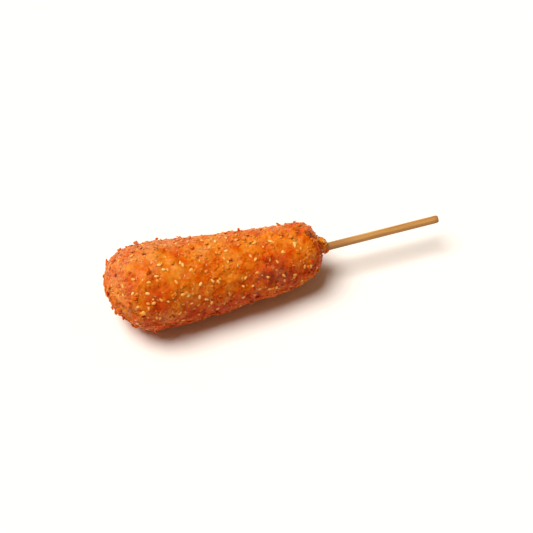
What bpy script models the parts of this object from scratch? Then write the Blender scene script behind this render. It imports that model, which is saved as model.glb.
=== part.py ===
"""A corn dog lying on its side: a deep-fried, crumb-coated body on a round bamboo stick.

Metres, +Z up. +X runs from the blunt end of the food to the free end of the stick, and the
origin is on the surface that the food lies on, under the middle of the whole piece.
"""
import bisect
import math
import random

import bmesh
import bpy
from mathutils import Matrix, Vector, noise
from mathutils.bvhtree import BVHTree

MM = 0.001

# The food: its length, its girth at both ends of the taper, how long its round ends are, and the
# short snout round the stick that the neck ends in.
FOOD_LENGTH = 132 * MM
WIDE_RADIUS = 25.1 * MM
NECK_RADIUS = 11.5 * MM
TAPER_LENGTH = 100 * MM
TAPER_EXPONENT = 0.5
NECK_CAP = 17 * MM
SHOULDER_START = 5.5 * MM
SHOULDER_SQUARENESS = 2.6
BLUNT_CAP = 23 * MM
SNOUT_LENGTH = 5.0 * MM
SNOUT_RADIUS = 5.0 * MM

# The stick: a plain round bamboo skewer, level, and deep in the food.
STICK_LENGTH = 180 * MM
STICK_DIAMETER = 4.8 * MM
STICK_SHOWN = 69.5 * MM
STICK_HEIGHT = 22 * MM
STICK_SIDE = -1.4 * MM
STICK_SIDES = 20
STICK_CHAMFER = 0.4 * MM
CHAMFER_STEPS = 2
SOCKET_GAP = 0.3 * MM

# The batter is a little off the stick's line: it climbs and leans towards its blunt end.
CLIMB_START = 60 * MM
CLIMB_SLOPE = 0.055
LEAN = 1.4 * MM
LEAN_SPAN = 100 * MM
TIP_CURL_START = 105 * MM
TIP_CURL = 3.5 * MM

# At the neck it bulges up and back over the stick.
NECK_BULGE = Vector((0, 2.1, 2.1)) * MM
BULGE_SPAN = 18 * MM
BULGE_START = 3 * MM

# Relief of the crust: broad lumps, and crags in patches.
LUMP_HEIGHT = 0.8 * MM
LUMP_SPAN = 19 * MM
CRAG_HEIGHT = 2.6 * MM
CRAG_SPAN = 5.2 * MM
CRAG_SHIFT = Vector((0, 9.3, 1.9))
PATCH_SPAN = 19 * MM
PATCH_SHIFT = Vector((3.1, 0, 5.7))

# How finely the crust is divided, along and around.
CRUST_RINGS = 42
CRUST_SIDES = 48
OUTLINE_STEPS = 600
NORMAL_STEP = 0.4 * MM
END_MARGIN = 0.05 * MM
SHARP_ANGLE = math.radians(50)

# Toppings: how many of each, and their sizes as length, width and thickness.
SEED_COUNT = 120
SEED_SIZE = (3.1 * MM, 1.9 * MM, 1.1 * MM)
SEED_BELLY = 1.2
SEED_TAPER = 0.35
FLAKE_COUNT = 30
FLAKE_SIZE = (3.4 * MM, 2.2 * MM, 0.8 * MM)
FLAKE_SIDES = 6
FLAKE_TOP = 0.8
FLAKE_UNEVEN = (0.8, 1.15)
CRUMB_COUNT = 34
CRUMB_SIZE = (3.2 * MM, 2.7 * MM, 2.3 * MM)
CRUMB_UNEVEN = (0.85, 1.15)
COLLAR_COUNT = 11
COLLAR_RADIUS = 4.4 * MM
COLLAR_DEPTH = 4.0 * MM
COLLAR_SIZE = (2.8 * MM, 2.4 * MM, 2.2 * MM)
COLLAR_UNEVEN = (0.9, 1.1)
SIZE_SPREAD = 0.16
TOPPING_SINK = 0.18
FLOOR_CLEARANCE = 2.0 * MM
GOLDEN_ANGLE = math.pi * (3 - math.sqrt(5))
PLACE_JITTER = 0.25
FLAKE_TURN, CRUMB_TURN = 1.0, 2.0
DRAW_SEED = 7

# Finish: colour and roughness of the browned batter and of the bamboo.
BATTER_COLOUR, BATTER_ROUGHNESS = (0.62, 0.17, 0.02), 0.45
BAMBOO_COLOUR, BAMBOO_ROUGHNESS = (0.62, 0.38, 0.15), 0.55

# Columns of the outline's table.
LENGTH, AREA = 1, 2

# Places that follow from the sizes above.
WHOLE_LENGTH = FOOD_LENGTH + STICK_SHOWN
BLUNT_X = -WHOLE_LENGTH / 2
NECK_X = BLUNT_X + FOOD_LENGTH
STICK_END_X = WHOLE_LENGTH / 2


def clear_scene():
    for obj in list(bpy.data.objects):
        bpy.data.objects.remove(obj, do_unlink=True)


def collection_named(name):
    made = bpy.data.collections.new(name)
    bpy.context.scene.collection.children.link(made)
    return made


def material(name, colour, roughness):
    made = bpy.data.materials.new(name)
    made.use_nodes = True
    shader = made.node_tree.nodes["Principled BSDF"]
    shader.inputs["Base Color"].default_value = (*colour, 1)
    shader.inputs["Roughness"].default_value = roughness
    shader.inputs["Metallic"].default_value = 0
    made.diffuse_color = (*colour, 1)
    return made


def object_from_bmesh(name, bm, home, skin=None):
    mesh = bpy.data.meshes.new(name)
    bm.to_mesh(mesh)
    bm.free()
    obj = bpy.data.objects.new(name, mesh)
    home.objects.link(obj)
    if skin:
        mesh.materials.append(skin)
    return obj


def plain_radius(d):
    """Radius of the smooth food at distance d from its stick end, both rounded ends included."""
    taper = min(1, d / TAPER_LENGTH) ** TAPER_EXPONENT
    girth = NECK_RADIUS + (WIDE_RADIUS - NECK_RADIUS) * taper
    past_snout = max(0, d - SHOULDER_START) / (NECK_CAP - SHOULDER_START)
    to_shoulder = max(0, 1 - past_snout) ** SHOULDER_SQUARENESS
    shoulder = (1 - to_shoulder) ** (1 / SHOULDER_SQUARENESS)
    to_blunt_end = max(0, 1 - (FOOD_LENGTH - d) / BLUNT_CAP)
    snout = SNOUT_RADIUS * math.sqrt(1 - max(0, 1 - d / SNOUT_LENGTH) ** 2)
    return max(min(snout, girth), girth * shoulder) * math.sqrt(max(0, 1 - to_blunt_end ** 2))


def centre_of(d):
    """Centre of the food's cross-section at distance d from its stick end."""
    climb = CLIMB_SLOPE * max(0, d - CLIMB_START)
    curl = TIP_CURL * (max(0, d - TIP_CURL_START) / (FOOD_LENGTH - TIP_CURL_START)) ** 2
    lean = LEAN * (d / LEAN_SPAN) ** 2 + curl
    bulge = math.exp(-(d / BULGE_SPAN) ** 2) * (1 - math.exp(-d / BULGE_START))
    return Vector((NECK_X - d, STICK_SIDE + lean, STICK_HEIGHT + climb)) + NECK_BULGE * bulge


def relief(p):
    """Height of the crust's lumps and crags at a point of the smooth food."""
    lumps = LUMP_HEIGHT * noise.noise(p / LUMP_SPAN)
    patch = 0.5 + 0.5 * noise.noise(p / PATCH_SPAN + PATCH_SHIFT)
    crags = CRAG_HEIGHT * patch * noise.noise(p / CRAG_SPAN + CRAG_SHIFT)
    return lumps + crags


def smooth_point(d, angle):
    radius = plain_radius(d)
    return centre_of(d) + Vector((0, math.cos(angle), math.sin(angle))) * radius


def smooth_normal(d, angle):
    """Outward direction of the smooth food, from two short steps along and around it."""
    low = max(d - NORMAL_STEP, END_MARGIN)
    high = min(d + NORMAL_STEP, FOOD_LENGTH - END_MARGIN)
    along = smooth_point(high, angle) - smooth_point(low, angle)
    around = Vector((0, -math.sin(angle), math.cos(angle)))
    return around.cross(along).normalized()


def crust_point(d, angle):
    p = smooth_point(d, angle)
    return p + smooth_normal(d, angle) * relief(p)


def outline_table():
    """Running totals over the food's outline, as (distance from the stick end, length, area)."""
    rows = [(0.0, 0.0, 0.0)]
    for i in range(1, OUTLINE_STEPS + 1):
        d = FOOD_LENGTH * (1 - math.cos(math.pi * i / OUTLINE_STEPS)) / 2
        last, length, area = rows[-1]
        radii = plain_radius(last), plain_radius(d)
        step = math.hypot(d - last, radii[1] - radii[0])
        rows.append((d, length + step, area + step * sum(radii)))
    return rows


def distance_at(table, column, share):
    """Distance from the stick end at which a share of the outline's length or area is passed."""
    wanted = share * table[-1][column]
    k = bisect.bisect_left(table, wanted, lo=1, hi=len(table) - 1, key=lambda row: row[column])
    low, high = table[k - 1], table[k]
    part = (wanted - low[column]) / (high[column] - low[column])
    return low[0] + (high[0] - low[0]) * min(1, max(0, part))


def crust_body(home, skin):
    """The bare crust: a sphere whose rings are drawn out over the food's outline."""
    table = outline_table()
    bm = bmesh.new()
    bmesh.ops.create_uvsphere(bm, u_segments=CRUST_SIDES, v_segments=CRUST_RINGS, radius=1)
    for v in bm.verts:
        share = math.acos(max(-1, min(1, v.co.z))) / math.pi
        v.co = crust_point(distance_at(table, LENGTH, share), math.atan2(v.co.y, v.co.x))
    bmesh.ops.recalc_face_normals(bm, faces=bm.faces)
    return object_from_bmesh("crust", bm, home, skin)


def spread_places(count, draw):
    """Evenly spread places on the food: equal areas along it, and golden angles round it."""
    table = outline_table()
    for i in range(count):
        angle = GOLDEN_ANGLE * i + draw.uniform(-PLACE_JITTER, PLACE_JITTER)
        yield distance_at(table, AREA, (i + 0.5) / count), angle


def lying_on(surface, d, angle, spin, sink):
    """Matrix of a thing that lies on the crust there, its thickness along the outward normal."""
    spot = surface.find_nearest(crust_point(d, angle))[0]
    out = smooth_normal(d, angle)
    turn = out.to_track_quat("Z", "Y").to_matrix() @ Matrix.Rotation(spin, 3, "Z")
    return Matrix.Translation(spot - out * sink) @ turn.to_4x4()


def scaled(size, draw):
    return [s * draw.uniform(1 - SIZE_SPREAD, 1 + SIZE_SPREAD) for s in size]


def seed_shape(size):
    """A sesame seed: a flattened drop, narrow at one end."""
    bm = bmesh.new()
    bmesh.ops.create_icosphere(bm, subdivisions=1, radius=0.5)
    for v in bm.verts:
        narrow = 1 - SEED_TAPER * (v.co.x + 0.5)
        width = size[1] * SEED_BELLY * narrow
        v.co = Vector((v.co.x * size[0], v.co.y * width, v.co.z * size[2]))
    return bm


def flake_shape(size, draw):
    """A dried herb flake: an uneven thin plate."""
    bm = bmesh.new()
    bmesh.ops.create_cone(
        bm, cap_ends=True, segments=FLAKE_SIDES, radius1=0.5, radius2=FLAKE_TOP / 2, depth=1)
    for v in bm.verts:
        v.co.x *= size[0] * draw.uniform(*FLAKE_UNEVEN)
        v.co.y *= size[1] * draw.uniform(*FLAKE_UNEVEN)
        v.co.z *= size[2]
    return bm


def crumb_shape(size, draw):
    """A crisp nugget of batter: a rough lump."""
    bm = bmesh.new()
    bmesh.ops.create_icosphere(bm, subdivisions=1, radius=0.5)
    for v in bm.verts:
        grow = draw.uniform(*CRUMB_UNEVEN)
        v.co = Vector([v.co[i] * size[i] * grow for i in range(3)])
    return bm


def place(name, bm, matrix, home):
    bm.transform(matrix)
    if min(v.co.z for v in bm.verts) < FLOOR_CLEARANCE:
        bm.free()
        return
    object_from_bmesh(name, bm, home)


def scatter_toppings(surface, home):
    """Seeds, flakes and crumbs over the crust, and a collar of crumbs where the stick goes in."""
    draw = random.Random(DRAW_SEED)
    for i, (d, angle) in enumerate(spread_places(SEED_COUNT, draw)):
        size = scaled(SEED_SIZE, draw)
        spin = draw.uniform(0, math.tau)
        matrix = lying_on(surface, d, angle, spin, size[2] * TOPPING_SINK)
        place(f"seed_{i}", seed_shape(size), matrix, home)
    for i, (d, angle) in enumerate(spread_places(FLAKE_COUNT, draw)):
        size = scaled(FLAKE_SIZE, draw)
        spin = draw.uniform(0, math.tau)
        matrix = lying_on(surface, d, angle + FLAKE_TURN, spin, 0)
        place(f"flake_{i}", flake_shape(size, draw), matrix, home)
    for i, (d, angle) in enumerate(spread_places(CRUMB_COUNT, draw)):
        size = scaled(CRUMB_SIZE, draw)
        spin = draw.uniform(0, math.tau)
        matrix = lying_on(surface, d, angle + CRUMB_TURN, spin, size[2] * TOPPING_SINK)
        place(f"crumb_{i}", crumb_shape(size, draw), matrix, home)
    for i in range(COLLAR_COUNT):
        turn = math.tau * i / COLLAR_COUNT
        size = scaled(COLLAR_SIZE, draw)
        reach = COLLAR_RADIUS * draw.uniform(*COLLAR_UNEVEN)
        spot = centre_of(COLLAR_DEPTH) + Vector((0, math.cos(turn), math.sin(turn))) * reach
        place(f"collar_{i}", crumb_shape(size, draw), Matrix.Translation(spot), home)


def applied_boolean(obj, operation, other=None, others=None):
    """Joins or cuts obj, and keeps the result as its own mesh."""
    modifier = obj.modifiers.new(operation.lower(), "BOOLEAN")
    modifier.operation = operation
    modifier.solver = "EXACT"
    if others:
        modifier.operand_type = "COLLECTION"
        modifier.collection = others
    else:
        modifier.object = other
    graph = bpy.context.evaluated_depsgraph_get()
    made = bpy.data.meshes.new_from_object(obj.evaluated_get(graph))
    obj.modifiers.clear()
    obj.data = made


def remove_collection(home):
    for obj in list(home.objects):
        bpy.data.objects.remove(obj, do_unlink=True)
    bpy.data.collections.remove(home)


def cylinder(name, radius, length, middle, home, skin=None):
    """A round bar along X."""
    bm = bmesh.new()
    bmesh.ops.create_cone(
        bm, cap_ends=True, segments=STICK_SIDES, radius1=radius, radius2=radius, depth=length)
    bm.transform(Matrix.Rotation(math.pi / 2, 4, "Y"))
    obj = object_from_bmesh(name, bm, home, skin)
    obj.location = middle
    return obj


def floor_cutter(home):
    bm = bmesh.new()
    bmesh.ops.create_cube(bm, size=1)
    obj = object_from_bmesh("floor_cutter", bm, home)
    obj.scale = (2 * FOOD_LENGTH, 4 * WIDE_RADIUS, WIDE_RADIUS)
    obj.location = (BLUNT_X + FOOD_LENGTH / 2, 0, -WIDE_RADIUS / 2)
    return obj


def build():
    clear_scene()
    home = collection_named("corn_dog")
    toppings = collection_named("toppings")
    cutters = collection_named("cutters")
    batter = material("fried_batter", BATTER_COLOUR, BATTER_ROUGHNESS)
    bamboo = material("bamboo", BAMBOO_COLOUR, BAMBOO_ROUGHNESS)

    crust = crust_body(home, batter)
    floor = floor_cutter(cutters)
    surface = BVHTree.FromObject(crust, bpy.context.evaluated_depsgraph_get())
    scatter_toppings(surface, toppings)
    stick_middle = Vector((STICK_END_X - STICK_LENGTH / 2, STICK_SIDE, STICK_HEIGHT))
    socket_reach = 2 * SOCKET_GAP
    socket = cylinder(
        "socket_cutter", STICK_DIAMETER / 2 + SOCKET_GAP, STICK_LENGTH + socket_reach,
        stick_middle, cutters)
    bpy.context.view_layer.update()

    applied_boolean(crust, "DIFFERENCE", other=floor)
    applied_boolean(crust, "UNION", others=toppings)
    remove_collection(toppings)
    applied_boolean(crust, "DIFFERENCE", other=socket)
    remove_collection(cutters)
    crust.data.shade_smooth()
    crust.data.set_sharp_from_angle(angle=SHARP_ANGLE)

    stick = cylinder("stick", STICK_DIAMETER / 2, STICK_LENGTH, stick_middle, home, bamboo)
    chamfer = stick.modifiers.new("chamfer", "BEVEL")
    chamfer.width = STICK_CHAMFER
    chamfer.segments = CHAMFER_STEPS
    chamfer.limit_method = "ANGLE"
    chamfer.angle_limit = SHARP_ANGLE
    stick.data.shade_smooth()
    stick.data.set_sharp_from_angle(angle=SHARP_ANGLE)


build()
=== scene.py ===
"""Looks of a corn dog that lies on its side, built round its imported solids.

Metres, +Z up. +X runs from the blunt end of the food to the free end of the stick. A place on the
food is its distance from the stick end and an angle round the food: 90 degrees is up, and 180
degrees is the long side that faces the camera.
"""
import bisect
import math
import random

import bmesh
import bpy
import numpy as np
from mathutils import Matrix, Vector, noise
from mathutils.bvhtree import BVHTree


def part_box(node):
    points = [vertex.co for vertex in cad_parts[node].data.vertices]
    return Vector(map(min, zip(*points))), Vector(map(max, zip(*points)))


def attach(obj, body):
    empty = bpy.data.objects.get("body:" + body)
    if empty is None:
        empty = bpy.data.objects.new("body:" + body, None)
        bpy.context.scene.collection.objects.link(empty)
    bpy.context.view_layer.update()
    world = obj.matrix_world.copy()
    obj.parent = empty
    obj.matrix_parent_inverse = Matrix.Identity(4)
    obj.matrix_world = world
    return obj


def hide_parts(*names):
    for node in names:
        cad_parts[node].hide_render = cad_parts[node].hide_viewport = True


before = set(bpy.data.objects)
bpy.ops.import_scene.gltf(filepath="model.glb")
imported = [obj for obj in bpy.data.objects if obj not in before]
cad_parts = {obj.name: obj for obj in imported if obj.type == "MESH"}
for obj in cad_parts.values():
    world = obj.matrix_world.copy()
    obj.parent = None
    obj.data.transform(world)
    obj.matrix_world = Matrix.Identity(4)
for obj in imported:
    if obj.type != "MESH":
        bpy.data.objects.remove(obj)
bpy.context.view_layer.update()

MM = 0.001

# The food's outline, with the same sizes as its solid.
FOOD_LENGTH = 132 * MM
WIDE_RADIUS = 25.1 * MM
NECK_RADIUS = 11.5 * MM
TAPER_LENGTH = 100 * MM
TAPER_EXPONENT = 0.5
NECK_CAP = 17 * MM
SHOULDER_START = 5.5 * MM
SHOULDER_SQUARENESS = 2.6
BLUNT_CAP = 23 * MM
SNOUT_LENGTH = 5.0 * MM
SNOUT_RADIUS = 5.0 * MM
CLIMB_START = 60 * MM
CLIMB_SLOPE = 0.055
LEAN = 1.4 * MM
LEAN_SPAN = 100 * MM
TIP_CURL_START = 105 * MM
TIP_CURL = 3.5 * MM
NECK_BULGE = Vector((0, 2.1, 2.1)) * MM
BULGE_SPAN = 18 * MM
BULGE_START = 3 * MM

# The broad relief of the crust, with the same sizes as its solid.
LUMP_HEIGHT = 0.8 * MM
LUMP_SPAN = 19 * MM
CRAG_HEIGHT = 2.6 * MM
CRAG_SPAN = 5.2 * MM
CRAG_SHIFT = Vector((0, 9.3, 1.9))
PATCH_SPAN = 19 * MM
PATCH_SHIFT = Vector((3.1, 0, 5.7))
CRAGS_KEPT = 0.6

# The stick, placed by its solid.
stick_low, stick_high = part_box("stick")
STICK_RADIUS = (stick_high.z - stick_low.z) / 2
STICK_AXIS = Vector((0, (stick_low.y + stick_high.y) / 2, (stick_low.z + stick_high.z) / 2))
STICK_SHOWN = 69.5 * MM
NECK_X = stick_high.x - STICK_SHOWN

# How finely the skin is divided, along and around.
SKIN_RINGS = 330
SKIN_SIDES = 298
OUTLINE_STEPS = 600
NORMAL_STEP = 0.4 * MM
END_MARGIN = 0.05 * MM
LENGTH, AREA = 1, 2

# The coat of fine crumbs on the skin: how far apart the crumbs of each size are, and how tall.
COAT = ((3.1 * MM, 1.15 * MM), (1.6 * MM, 0.42 * MM), (0.9 * MM, 0.10 * MM))
COAT_LEVEL = 0.80 * MM
CRUMB_REACH = 0.85
CRUMB_GAP = 0.35
CRUMB_JOIN = 0.45
LOWEST_CRUMB = 0.25
LOWEST_TOP = 0.4
SHADE_STEP = 5.7
BEND_SPAN, BEND = 2.2 * MM, 0.7 * MM
BLISTER_SPAN, BLISTER_HEIGHT, BLISTER_REACH = 7.5 * MM, 0.55 * MM, 0.7
BLISTERED_BELOW = 0.9
ROUGH_START, ROUGH_SPAN, ROUGH_MORE = 108 * MM, 16 * MM, 0.8

# Browning, dust and thickness of the coat: an even level, and noises as (strength, span, shift).
TONE_NOISE = (0.42, (0.10, 10 * MM, 4.0), (0.15, 3.2 * MM, 9.0))
DUST_NOISE = (0.02, (0.30, 8 * MM, 15.0))
COAT_NOISE = (0.85, (0.5, 9 * MM, 21.0))
THINNEST_COAT = 0.10
# How much each crumb's own random shade changes the tone, and the painted shade that darkens the hollows
# between crumbs and each loose crumb's lower part.
SHADE_TONE, PAINTED_HOLLOW_SHADE = 0.16, 0.10

# Toppings that the solid has too: how many of each, and their length, width and thickness.
SEED_COUNT = 120
SEED_SIZE = (3.1 * MM, 1.9 * MM, 1.1 * MM)
SEED_PLUMP = (0.84, 0.80, 0.9)
FLAKE_COUNT = 30
FLAKE_SIZE = (3.4 * MM, 2.2 * MM, 0.8 * MM)
FLAKE_SIDES = 6
FLAKE_UNEVEN = (0.8, 1.15)
CRUMB_COUNT = 34
CRUMB_SIZE = (3.2 * MM, 2.7 * MM, 2.3 * MM)
CRUMB_UNEVEN = (0.85, 1.15)
CRUMB_CORNERS = 12
COLLAR_COUNT = 11
COLLAR_RADIUS = 4.4 * MM
COLLAR_DEPTH = 4.0 * MM
COLLAR_SIZE = (2.8 * MM, 2.4 * MM, 2.2 * MM)
COLLAR_UNEVEN = (0.9, 1.1)
SIZE_SPREAD = 0.16
TOPPING_SINK = 0.18
FLOOR_CLEARANCE = 2.0 * MM
GOLDEN_ANGLE = math.pi * (3 - math.sqrt(5))
PLACE_JITTER = 0.25
FLAKE_TURN, CRUMB_TURN = 1.0, 2.0
DRAW_SEED = 7
NOISE_SHIFT = 50

# Patches of the crust, as distance from the stick end (mm), angle (degrees), reach (mm) and amount. Tone
# is how much browner (above 0) or more golden (below 0) the crust is there. Some tone patches are browning
# of the crust; the browner rows along the top rim (angles 48 to 62) and along the underside (angles 178 to
# 210) are painted shade, and the golden rows in the upper band (angles 68 to 134) are partly painted
# highlight.
BROWNING_AND_SHADING_PATCHES = (
    (101, 87, 9, -0.16), (111, 101, 8, -0.14), (118, 94, 5, -0.12), (95, 111, 10, -0.16),
    (89, 134, 8, -0.12), (68, 72, 9, -0.14), (47, 91, 7, -0.14), (52, 99, 6, -0.12),
    (34, 75, 7, -0.14), (21, 122, 7, -0.09), (63, 125, 9, -0.12), (59, 110, 8, -0.10),
    (61, 68, 7, -0.12), (26, 103, 6, -0.14), (128, 129, 7, -0.12), (124, 180, 6, -0.12),
    (78, 100, 9, -0.10), (108, 135, 8, 0.10), (104, 146, 9, 0.12), (121, 142, 6, 0.08),
    (120, 71, 6, 0.08), (88, 86, 6, 0.08), (46, 127, 7, 0.12), (54, 131, 6, 0.10),
    (107, 95, 3, 0.18), (87, 102, 4, 0.14), (108, 161, 4.5, 0.24), (120, 178, 5, 0.22),
    (77, 120, 5, 0.10), (111, 58, 5, 0.14), (79, 178, 9, 0.12), (55, 92, 3.5, 0.20),
    (60, 81, 3, 0.14), (38, 102, 4, 0.10), (33, 138, 6, 0.36), (32, 156, 6, 0.34),
    (42, 156, 7, 0.36), (44, 146, 5, 0.34), (42, 126, 6, 0.20), (28, 124, 4, 0.14),
    (42, 50, 5, 0.24), (7, 135, 4, 0.22), (8, 160, 5, 0.26), (42, 59, 4, 0.16),
    (12.5, 98, 2.6, 0.26), (6.5, 190, 6, 0.28), (15, 181, 6, 0.16), (53, 188, 12, 0.26),
    (86, 194, 12, 0.26), (124, 115, 12, 0.13), (128, 48, 5, 0.16), (112, 202, 12, 0.26),
    (30, 188, 9, 0.24), (70, 196, 12, 0.26), (15, 186, 8, 0.18), (126, 208, 9, 0.18),
    (99, 206, 10, 0.26), (15, 58, 7, 0.16), (30, 54, 7, 0.14), (52, 52, 7, 0.14),
    (68, 50, 7, 0.12), (84, 50, 8, 0.18), (119, 84, 4, 0.20), (112, 74, 4, 0.18),
    (125, 98, 4, 0.18), (104, 70, 4, 0.16), (128, 84, 4, 0.20), (117, 110, 4, 0.12),
    (94, 78, 4, 0.14), (122, 76, 3, -0.12), (115, 88, 3, -0.12), (108, 66, 3, -0.12),
    (98, 50, 8, 0.18), (112, 62, 9, 0.16), (122, 60, 9, 0.18), (3, 100, 4, -0.16),
    (3, 160, 4, -0.10),
)
# Pale dusting patches, and in the row along the top rim (angles 50 to 70) painted sheen.
DUST_AND_SHEEN_PATCHES = (
    (115, 77, 7, 0.9), (119, 82, 5, 0.8), (74, 88, 4, 0.6), (106, 78, 6, 0.8), (44, 145, 5, 0.3),
    (35, 150, 6, 0.2), (103, 176, 6, 0.4), (118, 190, 6, 0.4), (34, 170, 5, 0.3), (92, 70, 6, 0.5),
    (128, 60, 9, 0.9), (98, 52, 7, 0.9), (112, 52, 8, 0.9), (121, 68, 8, 0.8), (104, 66, 6, 0.7),
    (28, 50, 6, 0.6), (34.5, 150, 2.5, 0.5), (43.5, 147, 2.5, 0.4), (38, 139, 2, 0.4),
    (36, 166, 2, 0.4), (70, 60, 8, 0.4), (127, 110, 9, 0.8), (122, 90, 9, 0.7), (12, 62, 8, 0.5),
    (28, 58, 8, 0.6), (44, 58, 8, 0.6), (60, 58, 8, 0.6), (82, 57, 8, 0.7), (95, 58, 8, 0.8),
    (108, 60, 9, 0.9), (124, 140, 9, 0.5),
)
SMOOTH_PATCHES = (
    (111, 101, 6, 0.6), (95, 112, 8, 0.7), (89, 134, 9, 0.8), (108, 134, 7, 0.8),
    (100, 146, 6, 0.6), (20, 121, 5, 0.5), (47, 126, 4, 0.4), (52, 99, 5, 0.6), (29, 100, 6, 0.7),
    (128, 120, 6, 0.6), (62, 125, 6, 0.5), (70, 260, 12, 0.6), (40, 20, 9, 0.6), (95, 330, 10, 0.6),
)

# Toppings that stand out, as distance from the stick end (mm) and angle (degrees).
SEED_PLACES = (
    (22, 108), (49, 112), (62, 96), (88, 66), (101, 102), (99, 109), (109, 122), (111, 136),
    (119, 135), (89, 149), (109, 150), (112, 149), (118, 153), (115, 162), (109, 172), (81, 137),
    (74, 136), (83, 156), (77, 170), (35, 131), (55, 143), (19.5, 157), (88, 107), (35.5, 92),
    (70, 84), (66, 74), (54, 78), (94, 128), (104, 116), (126, 140), (123, 122), (96, 172),
    (47, 119), (26, 165), (58, 176), (38, 178), (70, 178), (30, 118),
)
YELLOW_PLACES = (
    (97, 184), (65.5, 146), (64.5, 161), (53, 192), (116, 199), (111, 190), (44, 168), (40.5, 167),
)
COLLAR_PLACES = (
    (2, 75), (3, 95), (4, 120), (2.5, 140), (5, 90), (6.5, 106), (1.5, 110), (4.5, 60), (3.5, 165),
    (5.5, 75), (2.5, 185),
)
HERB_PLACES = (
    (102, 67), (95, 75), (90, 77), (88, 95), (102, 133), (106, 147), (109, 165), (27, 75),
    (43, 112), (58, 133), (36, 121), (30, 149), (53, 85), (7, 103),
)

# The burnt bubble near the stick, in the shallow crater that it has pushed up.
CRATER_PLACE = (12.5 * MM, math.radians(98))
CRATER_RADIUS, CRATER_RIM, CRATER_DEPTH = 2.6 * MM, 0.5 * MM, 0.6 * MM
CRATER_WIDTH = 0.8 * MM
CRATER_REACH = 4 * CRATER_RADIUS
BURNT_BALL = (4.9 * MM, 4.4 * MM, 3.6 * MM)
BURNT_STAND = 1.3 * MM
BURNT_SPIN = 0.4
BURNT_SWELL, BURNT_SWELL_PITCH = 0.22, 3.5
BURNT_ROUGHNESS, BURNT_ROUGH_PITCH = 0.4, 11
CRUMB_FREE_REACH = 1.3 * BURNT_BALL[0]

# Loose crumbs: the piece, how many, the shortest and longest, the fineness of each mesh, and the
# seed of its draws. Widths, thicknesses and depths in the skin are shares of a crumb's length.
CRUMB_PIECES = (
    ("crumbs", 300, 1.8 * MM, 3.4 * MM, 3, 11),
    ("fine_crumbs", 640, 0.9 * MM, 2.0 * MM, 2, 12),
)
LOOSE_WIDTH, LOOSE_THICKNESS, LOOSE_SINK = (0.55, 0.95), (0.30, 0.50), (0.08, 0.20)
LOOSE_STRAY = 0.25
LOOSE_TONE = (-0.07, 0.08)
ON_BARE_BATTER = 0.1
FEW_LONG = 1.8
CRUMB_TILT = 0.2
CRUMB_SHAPES = 24
CRUMB_TOP = (0.2, 0.7)

# A broken crumb's flat facets and its swellings.
FACETS, FACET_LEVEL = 8, (0.18, 0.40)
LUMP_SWELL, LUMP_SWELL_PITCH, LUMP_SCALE = 0.6, 3.1, 1.2

# Crumbs that stand out, as how many, from and to which distance (mm), and the longest (mm).
END_CRUMBS = ((48, 108, 131.5, 3.4), (30, 3, 26, 2.8), (12, 1.0, 3.0, 1.8))
SHORTEST_END_CRUMB = 1.3
END_WIDTH, END_THICKNESS, END_SINK = (0.7, 0.95), (0.55, 0.85), 0.34
END_TONE = (-0.04, 0.08)
SOLID_CRUMB_SHARE = (0.78, 0.78, 0.6)
SOLID_CRUMB_SINK = 2.4
COLLAR_SHARE, COLLAR_PULL = 0.8, 0.9
COLLAR_TONE = (-0.42, -0.06)

# Pale slivers of crumb. Width, thickness and bend are shares of the length, which is in mm.
SHARD_WIDTH, SHARD_THICKNESS, SHARD_BEND = (0.3, 0.5), (0.2, 0.32), 0.5
SHARD_PLACES, SHARD_SHAPES, SHARD_SEED = 2800, 24, 21
SHARD_STRAY, SHARD_TILT, SHARD_STAND = 0.3, 0.3, 0.15 * MM
SHORTEST_SHARD, SHARD_RANGE = 0.8, 1.7
SHARDS_WITHOUT_DUST = 0.3
SHARD_TONES = (1.4, 1.4)

# Sesame seeds: their outline, the small ones between the others, and the browner tip of each.
SEED_SEED = 5
SEED_ROUND, SEED_NARROWING, SEED_TIP_LENGTH = 1.2, 0.35, 0.06
SEED_SINK = 0.6
SMALL_SEED_COUNT, SMALL_SEED_SHARE = 190, (0.45, 0.75)
SMALL_SEED_TURN, SMALL_SEED_TILT, SMALL_SEED_SINK = 0.7, 0.25, 0.2
PLACED_SEED_SHARE, PLACED_SEED_SINK, PLACED_SEED_TONE = (0.9, 1.05), 0.1, (0.05, 0.6)
SEED_TIP_TONE = 0.35
PALEST_SEED, SEED_TONES = 0.25, (1.3, 1.7)
PALEST_SMALL_SEED, SMALL_SEED_TONES = 0.1, (1.3, 1.6)

# Flakes: their shape, and those that stand out, as their places, range of tone, range of size,
# share of the usual width, and how far they stand off the skin in mm.
FLAKE_SEED = 3
FLAKE_LIFT = 0.25 * MM
FLAKE_THICKNESS = 0.22 * MM
FLAKE_TONE = (0.05, 0.7)
FLAKE_COLUMNS, FLAKE_ROWS = 9, 6
FLAKE_CURL, FLAKE_TWIST, FLAKE_LIFT_SHARE = (0.5, 1.6), 0.5, 0.7
FLAKE_RAGGED, FLAKE_RAGGED_PITCH = 0.35, 4
FLAKE_CRINKLE, FLAKE_CRINKLE_PITCH = 0.12, 6
FLAKE_POINTED = 0.45
PLACED_FLAKES = (
    (YELLOW_PLACES, (0.92, 1.00), (1.4, 1.7), 1.5, 1.1),
    (HERB_PLACES, (0.1, 0.60), (1.1, 1.6), 0.6, 0.5),
    (COLLAR_PLACES, (0.45, 0.80), (0.6, 0.8), 0.7, 0.25),
)

# The stick's mesh: its fibres and its worn ends.
STICK_RINGS, STICK_SIDES = 180, 64
FIBRE_LENGTH, FIBRE_WIDTH, SWAY_LENGTH = 25 * MM, 0.5 * MM, 30 * MM
STICK_SHRINK, FIBRE_DEPTH, SWAY_DEPTH = 0.012, 0.018, 0.01
WORN_LENGTH, WORN_DEPTH = 0.5 * MM, 0.12
SHARP_EDGE = math.radians(40)

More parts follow.
